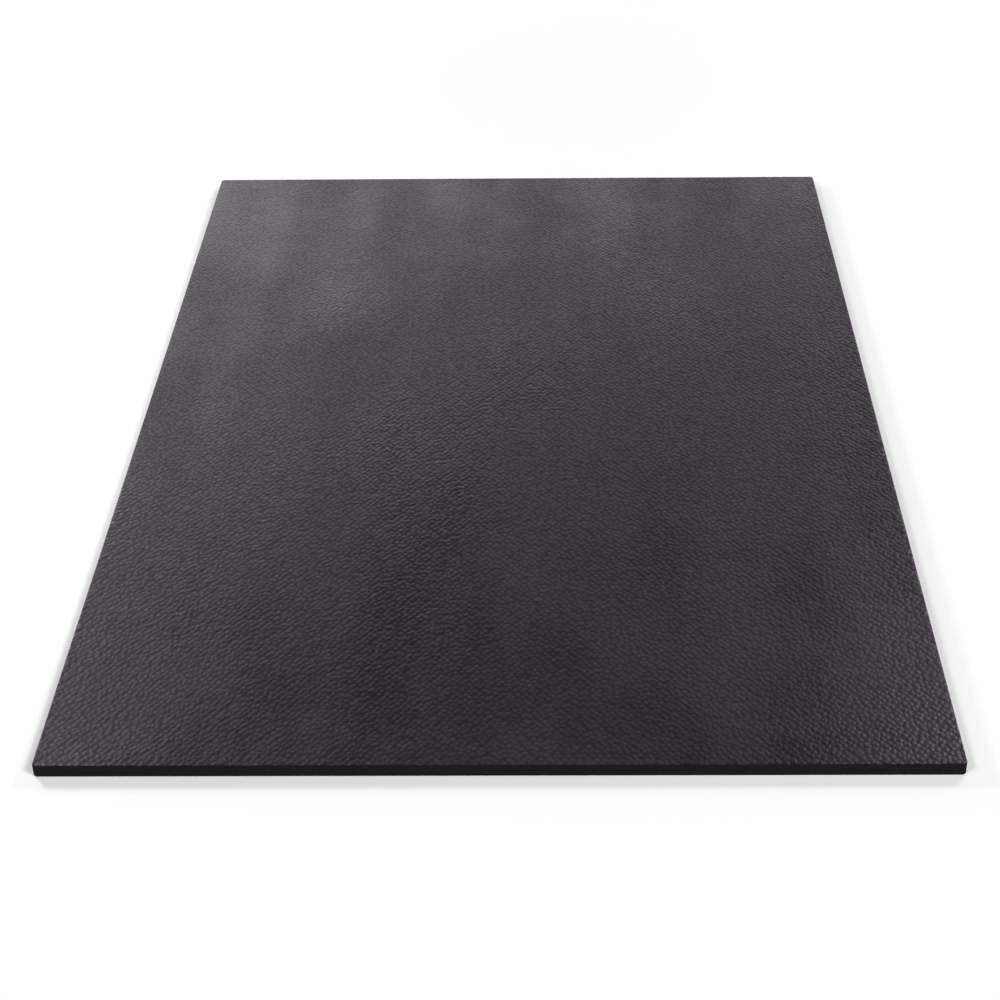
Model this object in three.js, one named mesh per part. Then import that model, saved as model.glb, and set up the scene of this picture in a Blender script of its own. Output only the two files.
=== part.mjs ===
// A rubber stall mat: one compression-moulded sheet of solid rubber that lies flat on a stable floor.
// Millimetres, +Z up. The origin is on the underside, at the middle of the mat. X runs across it and Y along it.
import * as THREE from "three";

// The sheet is sold as 4 ft x 6 ft x 3/4 in.
const matWidth = 1219.2;
const matLength = 1828.8;
const matThickness = 19.05;

// The four upright corners are turned to a small radius, seen from above.
const cornerRadius = 6;
const cornerSegments = 6;

// The edges round both faces of the sheet are eased, as the mould leaves them.
const arrisRadius = 1.6;
const arrisSegments = 4;

const rubber = new THREE.MeshStandardMaterial({
  name: "black_rubber",
  color: 0x2f2a31,
  roughness: 0.75,
  metalness: 0,
});

// The mat's outline from above: a rectangle with round corners, drawn anticlockwise about the origin.
function matOutline(width, length, radius) {
  const cornerX = width / 2 - radius;
  const cornerY = length / 2 - radius;
  const quarterTurn = Math.PI / 2;
  const outline = new THREE.Shape();
  outline.absarc(cornerX, cornerY, radius, 0, quarterTurn);
  outline.absarc(-cornerX, cornerY, radius, quarterTurn, 2 * quarterTurn);
  outline.absarc(-cornerX, -cornerY, radius, 2 * quarterTurn, 3 * quarterTurn);
  outline.absarc(cornerX, -cornerY, radius, 3 * quarterTurn, 4 * quarterTurn);
  outline.closePath();
  return outline;
}

// The sheet itself: the outline given its thickness, with the eased edges inside its full size.
function stallMat() {
  const sheet = new THREE.ExtrudeGeometry(matOutline(matWidth, matLength, cornerRadius), {
    depth: matThickness - 2 * arrisRadius,
    curveSegments: cornerSegments,
    bevelEnabled: true,
    bevelThickness: arrisRadius,
    bevelSize: arrisRadius,
    bevelOffset: -arrisRadius,
    bevelSegments: arrisSegments,
  });
  const mat = new THREE.Mesh(sheet, rubber);
  mat.name = "stall_mat";
  mat.position.z = arrisRadius;
  return mat;
}

const part = new THREE.Group();
part.name = "rubber_stall_mat";
part.add(stallMat());

export default part;
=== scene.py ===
"""The finish of a rubber stall mat: its pebbled wear face, its plain edges and its dull black rubber.

Metres, +Z up. The mat lies flat on the floor with its length along Y, and the camera looks along its length.
"""

import math
import random

import bmesh
import bpy
from mathutils import Matrix, Vector


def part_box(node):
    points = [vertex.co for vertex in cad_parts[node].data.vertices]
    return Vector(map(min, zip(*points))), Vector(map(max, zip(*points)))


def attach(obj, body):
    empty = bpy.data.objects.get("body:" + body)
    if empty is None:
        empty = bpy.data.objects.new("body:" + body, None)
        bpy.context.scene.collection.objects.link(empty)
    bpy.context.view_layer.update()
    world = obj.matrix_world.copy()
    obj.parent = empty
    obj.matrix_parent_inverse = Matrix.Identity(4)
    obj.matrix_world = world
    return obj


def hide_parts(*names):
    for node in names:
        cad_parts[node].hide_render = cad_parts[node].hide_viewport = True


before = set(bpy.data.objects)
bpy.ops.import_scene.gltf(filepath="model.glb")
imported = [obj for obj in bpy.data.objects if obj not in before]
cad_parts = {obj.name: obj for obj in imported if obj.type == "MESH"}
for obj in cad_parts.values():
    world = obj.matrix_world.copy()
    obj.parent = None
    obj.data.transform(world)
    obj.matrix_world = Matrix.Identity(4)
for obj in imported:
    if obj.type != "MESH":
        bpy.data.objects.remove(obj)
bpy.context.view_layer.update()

MM = 0.001

# The slab as the CAD gives it.
MAT = "stall_mat"
slab_low, slab_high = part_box(MAT)
WEAR_FACE = slab_high.z

# The modelled grain: pebbles in staggered rows, with a groove round each one.
# A saddle lies between two crowns, and the saddles along the slanting ridges are the higher ones.
PEBBLE_ACROSS = 16.0 * MM
PEBBLE_ALONG = 13.0 * MM
GROOVE_DEPTH = 0.6 * MM
GROOVE_SPREAD = 0.15 * MM
CROWN_DROP = 0.2 * MM
RIDGE_SADDLES = (0.25 * MM, 0.5 * MM)
CROSS_SADDLES = (0.35 * MM, 0.65 * MM)
CROWN_STRAY = 1.8 * MM
SADDLE_STRAY = 0.8 * MM
BLANK_MARGIN = 14.0 * MM
GRAIN_SEED = 4

# A smaller pebble lies over the modelled one, as a bump in the rubber.
SMALL_ACROSS = 10.5 * MM
SMALL_ALONG = 13.5 * MM
SMALL_STRAY = 0.62
SMALL_DEPTH = 0.32 * MM
SMALL_CROWN = 0.15
SMALL_GROOVE = 0.65

# The grain's rows wander a little, as the mould's engraving does.
ROW_WANDER = 3.4 * MM
WANDER_LENGTH = 85 * MM

# The wear face isn't dead flat: it rises and falls a little in long soft bands.
SWELL_DEPTH = 1.2 * MM
SWELL_ACROSS = 290 * MM
SWELL_ALONG = 1250 * MM
SWELL_FADE = 90 * MM

# Sharper turns than this are shaded as corners, and so is the start of an upright side.
HARD_ANGLE = math.radians(38)
UPRIGHT = 0.02

# A face whose normal points up at least this much belongs to the wear face.
WEAR_TILT = 0.75
WEAR_SLOT, EDGE_SLOT = 0, 1

# What the finish reads from the mesh, and how the flat map leaves gaps and shrinks the back.
GRAIN_HEIGHT = "grain_height"
FINISH_MAP = "OFBake"
MAP_GAP = 0.004
BACK_SHARE = 0.38

# Carbon-black rubber, which the photograph shows with a purple cast.
RUBBER_COLOUR = (0.0100, 0.0064, 0.0106)
CROWN_ROUGHNESS = 0.38
GROOVE_ROUGHNESS = 0.47
LARGE_SHARE = 0.4
SHEEN_TINT = (0.94, 0.62, 1.0, 1.0)

# The rubber's mottling, and the painted shade and highlight of its grain. Shades multiply its colour, and a
# range is the part of a pattern that counts.
# The grooves are darkened as painted shade. The crowns are lightened partly as wear and partly as a painted
# highlight.
GRAIN_PAINTED_SHADE_AND_WEAR = (0.5, 1.9)
GRAIN_RANGE = {"start": 0.25, "end": 0.9}
CRUMB_SIZE = 2.2 * MM
CRUMB_SHADES = (0.86, 1.14)
PATCH_SIZE = 260 * MM
PATCH_SHADES = (0.88, 1.12)
STREAK_SIZE = 120 * MM
STREAK_STRETCH = (1, 0.18, 1)
ROUGHNESS_STRAY = (-0.05, 0.05)
NOISE_RANGE = {"start": 0.3, "end": 0.7}
SKIN_SIZE = 0.7 * MM
SKIN_DEPTH = 0.04 * MM

# The plain rubber of the edges and the back.
EDGE_COLOUR = (0.0100, 0.0079, 0.0106)
EDGE_SHADES = (0.8, 1.15)
EDGE_ROUGHNESS = (0.72, 0.85)
EDGE_MOTTLE_SIZE = 6 * MM
EDGE_SKIN_SIZE = 1.1 * MM
EDGE_SKIN_DEPTH = 0.08 * MM
EDGE_GLOSS = 0.12

# The pale floor, which is wide enough to fill the picture.
FLOOR_COLOUR = (0.97, 0.97, 0.97)
FLOOR_ROUGHNESS = 0.9
FLOOR_GLOSS = 0.1
FLOOR_REACH = 20.0
FLOOR_DROP = 0.2 * MM

# The camera, from the mat's four corners in the photograph. Its angles are in degrees.
CAMERA_PLACE = (0.0728, -2.8886, 1.7375)
CAMERA_LENS = 71.87
CAMERA_DIP = 33.478
CAMERA_SWING = 0.801
CAMERA_ROLL = -0.654
CAMERA_SHIFT = -0.03

# The lights, set so that each part of the mat is about as bright as in the photograph. Sizes are in metres.
ROOM_LIGHT = 0.04
CENTRE = (0, 0, 0)
LIGHTS = {
    "camera_left_box": {"place": (-3.0, -3.4, 4.4), "aim": CENTRE, "size": (2.0, 1.6), "watts": 120},
    "camera_right_box": {"place": (3.0, -3.4, 4.4), "aim": CENTRE, "size": (2.0, 1.6), "watts": 215},
    "left_box": {"place": (-1.8, 0.5, 1.1), "aim": (-0.65, -0.9, 0), "size": (0.4, 0.4), "watts": 21},
    "far_left_strip": {"place": (-1.7, 2.3, 0.9), "aim": (-0.4, 0.5, 0), "size": (0.9, 0.6), "watts": 13},
    "far_strip": {"place": (-0.9, 3.2, 1.0), "aim": (-0.3, 0.6, 0), "size": (1.0, 0.7), "watts": 8.8},
    "far_middle_strip": {"place": (0.2, 3.4, 0.8), "aim": (0, 0.6, 0), "size": (1.2, 0.6), "watts": 7},
    "far_right_strip": {"place": (1.5, 3.2, 0.8), "aim": (0.3, 0.5, 0), "size": (1.2, 0.6), "watts": 6.4},
    "right_box": {"place": (1.9, 1.4, 1.9), "aim": (0.65, -0.9, 0), "size": (0.5, 0.6), "watts": 15},
    "floor_box": {"place": (3.2, 3.0, 2.4), "aim": (1.6, 2.0, 0), "size": (1.4, 1.4), "watts": 48},
}


def swell(x, y):
    """How far the wear face lies below its highest level here. It fades out towards the edges.

    One wave runs across the mat and drifts sideways along it. A longer one runs along it, a little aslant.
    """
    wave = math.sin(math.tau * (x / SWELL_ACROSS + 0.1 * math.sin(math.tau * y / SWELL_ALONG)))
    wave += math.sin(math.tau * (y / SWELL_ALONG + 0.3) + 2.2 * x)
    inside = min(slab_high.x - abs(x), slab_high.y - abs(y))
    fade = min(max(inside / SWELL_FADE, 0.0), 1.0)
    return SWELL_DEPTH * (0.5 + 0.25 * wave) * fade


def wander(x, y):
    """How far the engraved rows stray sideways and lengthways here. Odd factors keep waves out of step."""
    turn = math.tau / WANDER_LENGTH
    across = math.sin(turn * y + 1.7 * math.sin(0.41 * turn * x)) + 0.6 * math.sin(1.63 * turn * x + 0.8)
    along = math.sin(turn * x + 1.3 * math.sin(0.37 * turn * y) + 2.0) + 0.6 * math.sin(1.71 * turn * y)
    return ROW_WANDER * across, ROW_WANDER * along


def stray(dice, reach):
    """A chance step sideways and lengthways."""
    return Vector((dice.uniform(-1, 1), dice.uniform(-1, 1), 0)) * reach


def pebbled_sheet():
    """The grain as an open sheet, a little larger than the mat: crowns and grooves first, then saddles."""
    cell_x, cell_y = PEBBLE_ACROSS / 2, PEBBLE_ALONG / 2
    cells_x = 2 * math.ceil((slab_high.x + BLANK_MARGIN) / cell_x)
    cells_y = 2 * math.ceil((slab_high.y + BLANK_MARGIN) / cell_y)
    bm = bmesh.new()
    bmesh.ops.create_grid(bm, x_segments=cells_x, y_segments=cells_y, size=0.5)
    bmesh.ops.scale(bm, vec=(cells_x * cell_x, cells_y * cell_y, 1), verts=bm.verts)

    dice = random.Random(GRAIN_SEED)
    for vert in bm.verts:
        crown = (round(vert.co.x / cell_x) + round(vert.co.y / cell_y)) % 2 == 0
        drop = dice.uniform(0, CROWN_DROP) if crown else GROOVE_DEPTH + dice.uniform(-1, 1) * GROOVE_SPREAD
        vert.co += stray(dice, CROWN_STRAY)
        vert.co.z = -drop
    for vert in bmesh.ops.poke(bm, faces=bm.faces[:])["verts"]:
        on_ridge = (math.floor(vert.co.x / cell_x) + math.floor(vert.co.y / cell_y)) % 2 == 1
        drop = dice.uniform(*(RIDGE_SADDLES if on_ridge else CROSS_SADDLES))
        vert.co += stray(dice, SADDLE_STRAY)
        vert.co.z = -drop
    for vert in bm.verts:
        across, along = wander(vert.co.x, vert.co.y)
        vert.co += Vector((across, along, WEAR_FACE - swell(vert.co.x, vert.co.y)))
    return bm


def pebbled_blank():
    """A block with the pebble grain on its top, to be cut to the mat's outline."""
    bm = pebbled_sheet()
    rim = [edge for edge in bm.edges if edge.is_boundary]
    skirt = bmesh.ops.extrude_edge_only(bm, edges=rim)["geom"]
    for item in skirt:
        if isinstance(item, bmesh.types.BMVert):
            item.co.z = slab_low.z - PEBBLE_ACROSS
    bmesh.ops.holes_fill(bm, edges=[edge for edge in bm.edges if edge.is_boundary])
    bmesh.ops.recalc_face_normals(bm, faces=bm.faces)
    return new_piece("pebbled_blank", bm)


def new_piece(name, bm):
    """Turns a bmesh into an object at the origin."""
    mesh = bpy.data.meshes.new(name)
    bm.to_mesh(mesh)
    bm.free()
    piece = bpy.data.objects.new(name, mesh)
    bpy.context.scene.collection.objects.link(piece)
    return piece


def slab_outline():
    """A closed copy of the CAD slab, which gives the mat its outline, corners and eased edges."""
    bm = bmesh.new()
    bm.from_mesh(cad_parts[MAT].data)
    bmesh.ops.remove_doubles(bm, verts=bm.verts, dist=0.01 * MM)
    return new_piece("slab_outline", bm)


def cut_to_outline(blank, outline):
    """Keeps what the blank and the outline share, and returns it as a bmesh."""
    trim = blank.modifiers.new("trim", "BOOLEAN")
    trim.operation = "INTERSECT"
    trim.solver = "MANIFOLD"
    trim.object = outline
    trimmed = blank.evaluated_get(bpy.context.evaluated_depsgraph_get()).to_mesh()
    bm = bmesh.new()
    bm.from_mesh(trimmed)
    for piece in (blank, outline):
        bpy.data.objects.remove(piece)
    return bm


def give_slots(bm):
    """The wear face and the moulded edges have a finish each."""
    bm.normal_update()
    for face in bm.faces:
        on_top = face.normal.z > WEAR_TILT and face.calc_center_median().z > WEAR_FACE / 2
        face.material_index = WEAR_SLOT if on_top else EDGE_SLOT


def shade_smooth(bm):
    """Rounds the shading of the grain and the eased edges, and keeps the mat's upright sides flat."""
    for face in bm.faces:
        face.smooth = True
    for edge in bm.edges:
        first, second = edge.link_faces
        side_starts = (abs(first.normal.z) < UPRIGHT) != (abs(second.normal.z) < UPRIGHT)
        edge.smooth = not (side_starts or abs(edge.calc_face_angle_signed(0.0)) > HARD_ANGLE)


def mark_grain(bm):
    """Writes how high each point of the wear face stands, from groove to crown, for the rubber's finish."""
    height = bm.verts.layers.float.new(GRAIN_HEIGHT)
    for vert in bm.verts:
        drop = WEAR_FACE - swell(vert.co.x, vert.co.y) - vert.co.z
        vert[height] = 1.0 - min(max(drop / GROOVE_DEPTH, 0.0), 1.0)


def lay_out_map(bm):
    """A flat map for the mat's finish. Beside the wear face lie the four sides as strips, and then the back.

    The back is drawn smaller, so that all of it fits between 0 and 1.
    """
    uv = bm.loops.layers.uv.new(FINISH_MAP)
    scale = (1 - 2 * MAP_GAP) / (slab_high.y - slab_low.y)
    back_scale = scale * BACK_SHARE
    beside = 2 * MAP_GAP + (slab_high.x - slab_low.x) * scale
    strip = (slab_high.z + MAP_GAP) * scale + MAP_GAP
    for face in bm.faces:
        n = face.normal
        for loop in face.loops:
            x = loop.vert.co.x - slab_low.x
            y = loop.vert.co.y - slab_low.y
            z = loop.vert.co.z
            if abs(n.z) >= max(abs(n.x), abs(n.y)) and n.z > 0:
                place = (MAP_GAP + x * scale, MAP_GAP + y * scale)
            elif abs(n.z) >= max(abs(n.x), abs(n.y)):
                place = (beside + 4 * strip + x * back_scale, MAP_GAP + y * back_scale)
            elif abs(n.x) > abs(n.y):
                place = (beside + (n.x > 0) * strip + z * scale, MAP_GAP + y * scale)
            else:
                place = (beside + (2 + (n.y > 0)) * strip + z * scale, MAP_GAP + x * scale)
            loop[uv].uv = place


def stall_mat(wear_rubber, edge_rubber):
    """The mat: one slab of rubber, cut from a pebbled block to the CAD slab's outline."""
    bm = cut_to_outline(pebbled_blank(), slab_outline())
    give_slots(bm)
    shade_smooth(bm)
    mark_grain(bm)
    lay_out_map(bm)
    mat = new_piece("pebbled_stall_mat", bm)
    mat.data.materials.append(wear_rubber)
    mat.data.materials.append(edge_rubber)
    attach(mat, "root")
    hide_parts(MAT)


class Finish:
    """A material under construction: its node tree, its shader and its pattern's coordinates."""

    def __init__(self, name):
        self.material = bpy.data.materials.new(name)
        self.material.use_nodes = True
        self.tree = self.material.node_tree
        self.shader = self.tree.nodes["Principled BSDF"]
        self.place = self.add("ShaderNodeTexCoord").outputs["Object"]

    def add(self, kind, settings=None, **values):
        """Adds a node. Its settings are attributes, and the values go into its sockets."""
        node = self.tree.nodes.new(kind)
        for key, value in (settings or {}).items():
            setattr(node, key, value)
        for key, value in values.items():
            self.feed(node.inputs[key.replace("_", " ")], value)
        return node

    def feed(self, socket, value):
        """Links a socket to another one, or sets it to a fixed value."""
        if isinstance(value, bpy.types.NodeSocket):
            self.tree.links.new(value, socket)
        else:
            socket.default_value = value

    def noise(self, size, detail=2.0, roughness=0.5, stretch=(1, 1, 1)):
        """Soft mottling with patches of about this size, in metres, from 0 to 1."""
        place = self.add("ShaderNodeMapping", Vector=self.place, Scale=stretch).outputs["Vector"]
        cloud = self.add("ShaderNodeTexNoise",
                         Vector=place, Scale=1 / size, Detail=detail, Roughness=roughness)
        return cloud.outputs["Fac"]

    def pebbles(self, across, along, loose):
        """Round pebbles in staggered rows, from 0 in the groove between two pebbles to 1 on a crown."""
        rows = (math.sqrt(2) / across, math.sqrt(2) / along, 0)
        turn = (0, 0, math.radians(45))
        place = self.add("ShaderNodeMapping", Vector=self.place, Scale=rows, Rotation=turn).outputs["Vector"]
        cells = self.add("ShaderNodeTexVoronoi", {"voronoi_dimensions": "2D"},
                         Vector=place, Scale=1.0, Randomness=loose)
        return self.spread(cells.outputs["Distance"], 1.0, 0.0, start=SMALL_CROWN, end=SMALL_GROOVE)

    def spread(self, value, low, high, start=0.0, end=1.0):
        """Turns a value between start and end into one between low and high, and eases it at both ends."""
        node = self.add("ShaderNodeMapRange", {"interpolation_type": "SMOOTHSTEP"}, Value=value)
        self.feed(node.inputs["From Min"], start)
        self.feed(node.inputs["From Max"], end)
        self.feed(node.inputs["To Min"], low)
        self.feed(node.inputs["To Max"], high)
        return node.outputs["Result"]

    def math(self, operation, first, second):
        node = self.add("ShaderNodeMath", {"operation": operation})
        self.feed(node.inputs[0], first)
        self.feed(node.inputs[1], second)
        return node.outputs["Value"]

    def tint(self, colour, strength):
        """A colour made darker or lighter by a changing strength."""
        node = self.add("ShaderNodeVectorMath", {"operation": "SCALE"})
        node.inputs[0].default_value = colour
        self.feed(node.inputs["Scale"], strength)
        return node.outputs["Vector"]

    def bump(self, height, distance, strength=1.0, under=None):
        """A normal bent by a height from 0 to 1, over another bump where one is given."""
        node = self.add("ShaderNodeBump", Strength=strength, Distance=distance, Height=height)
        if under is not None:
            self.feed(node.inputs["Normal"], under)
        return node.outputs["Normal"]


def wear_face_rubber():
    """Black rubber with a pebble grain: satin on the crowns, duller in the grooves, with painted shade in
    the grooves and crowns lightened partly by wear and partly as a painted highlight.
    """
    rubber = Finish("pebbled_black_rubber")
    large = rubber.add("ShaderNodeAttribute", {"attribute_name": GRAIN_HEIGHT}).outputs["Fac"]
    small = rubber.pebbles(SMALL_ACROSS, SMALL_ALONG, SMALL_STRAY)
    height = rubber.math("ADD", rubber.math("MULTIPLY", large, LARGE_SHARE),
                         rubber.math("MULTIPLY", small, 1 - LARGE_SHARE))
    crumb = rubber.noise(CRUMB_SIZE, detail=1.0)
    patches = rubber.noise(PATCH_SIZE, detail=3.0, roughness=0.55)
    streaks = rubber.noise(STREAK_SIZE, detail=2.0, stretch=STREAK_STRETCH)
    skin = rubber.noise(SKIN_SIZE, detail=3.0, roughness=0.6)

    # Painted shade darkens the grooves. The crowns are lightened partly as wear and partly as a painted
    # highlight.
    shade = rubber.spread(height, *GRAIN_PAINTED_SHADE_AND_WEAR, **GRAIN_RANGE)
    shade = rubber.math("MULTIPLY", shade, rubber.spread(crumb, *CRUMB_SHADES, start=0.25, end=0.75))
    shade = rubber.math("MULTIPLY", shade, rubber.spread(patches, *PATCH_SHADES, **NOISE_RANGE))
    rubber.feed(rubber.shader.inputs["Base Color"], rubber.tint(RUBBER_COLOUR, shade))

    dull = rubber.spread(height, GROOVE_ROUGHNESS, CROWN_ROUGHNESS, **GRAIN_RANGE)
    dull = rubber.math("ADD", dull, rubber.spread(patches, *ROUGHNESS_STRAY, **NOISE_RANGE))
    dull = rubber.math("ADD", dull, rubber.spread(streaks, *ROUGHNESS_STRAY, **NOISE_RANGE))
    rubber.feed(rubber.shader.inputs["Roughness"], dull)

    pebbled = rubber.bump(small, distance=SMALL_DEPTH)
    grained = rubber.bump(skin, distance=SKIN_DEPTH, strength=0.6, under=pebbled)
    rubber.feed(rubber.shader.inputs["Normal"], grained)
    rubber.shader.inputs["Specular Tint"].default_value = SHEEN_TINT
    return rubber.material


def edge_rubber():
    """The same rubber on the mat's edges and back, which come plain and matt from the mould."""
    rubber = Finish("moulded_edge_rubber")
    mottle = rubber.noise(EDGE_MOTTLE_SIZE, detail=3.0)
    skin = rubber.noise(EDGE_SKIN_SIZE, detail=3.0, roughness=0.6)
    shade = rubber.spread(mottle, *EDGE_SHADES, **NOISE_RANGE)
    rubber.feed(rubber.shader.inputs["Base Color"], rubber.tint(EDGE_COLOUR, shade))
    rubber.feed(rubber.shader.inputs["Roughness"], rubber.spread(mottle, *EDGE_ROUGHNESS, **NOISE_RANGE))
    rubber.feed(rubber.shader.inputs["Normal"], rubber.bump(skin, distance=EDGE_SKIN_DEPTH, strength=0.7))
    rubber.shader.inputs["Specular IOR Level"].default_value = EDGE_GLOSS
    rubber.shader.inputs["Specular Tint"].default_value = SHEEN_TINT
    return rubber.material


def floor():
    """A plain pale floor under the mat, a hair below it."""
    bm = bmesh.new()
    bmesh.ops.create_grid(bm, x_segments=1, y_segments=1, size=FLOOR_REACH)
    bmesh.ops.translate(bm, vec=(0, 0, slab_low.z - FLOOR_DROP), verts=bm.verts)
    ground = new_piece("studio_floor", bm)
    paper = Finish("pale_studio_paper")
    shade = paper.spread(paper.noise(0.4), 0.995, 1.0)
    paper.feed(paper.shader.inputs["Base Color"], paper.tint(FLOOR_COLOUR, shade))
    paper.shader.inputs["Roughness"].default_value = FLOOR_ROUGHNESS
    paper.shader.inputs["Specular IOR Level"].default_value = FLOOR_GLOSS
    ground.data.materials.append(paper.material)


def camera():
    """Stands at the mat's near end and looks along and down it, as the photograph does."""
    lens = bpy.data.cameras.new("studio_camera")
    lens.lens = CAMERA_LENS
    lens.shift_x = CAMERA_SHIFT
    eye = bpy.data.objects.new("studio_camera", lens)
    swing = Matrix.Rotation(math.radians(CAMERA_SWING), 4, "Z")
    tilt = Matrix.Rotation(math.radians(90 - CAMERA_DIP), 4, "X")
    roll = Matrix.Rotation(math.radians(CAMERA_ROLL), 4, "Z")
    eye.matrix_world = Matrix.Translation(CAMERA_PLACE) @ swing @ tilt @ roll
    bpy.context.scene.collection.objects.link(eye)
    bpy.context.scene.camera = eye


def soft_box(name, place, aim, size, watts):
    """A soft studio light that stands at a place and faces a point."""
    lamp = bpy.data.lights.new(name, "AREA")
    lamp.shape = "RECTANGLE"
    lamp.size, lamp.size_y = size
    lamp.energy = watts
    box = bpy.data.objects.new(name, lamp)
    box.location = place
    box.rotation_euler = (Vector(aim) - Vector(place)).to_track_quat("-Z", "Y").to_euler()
    bpy.context.scene.collection.objects.link(box)


def studio():
    """A dim white room with soft boxes round the mat."""
    world = bpy.data.worlds.new("studio_room")
    world.use_nodes = True
    room = world.node_tree.nodes["Background"]
    room.inputs["Color"].default_value = (1, 1, 1, 1)
    room.inputs["Strength"].default_value = ROOM_LIGHT
    bpy.context.scene.world = world
    for name, light in LIGHTS.items():
        soft_box(name, **light)
    bpy.context.scene.view_settings.view_transform = "Standard"


camera()
floor()
studio()
stall_mat(wear_face_rubber(), edge_rubber())
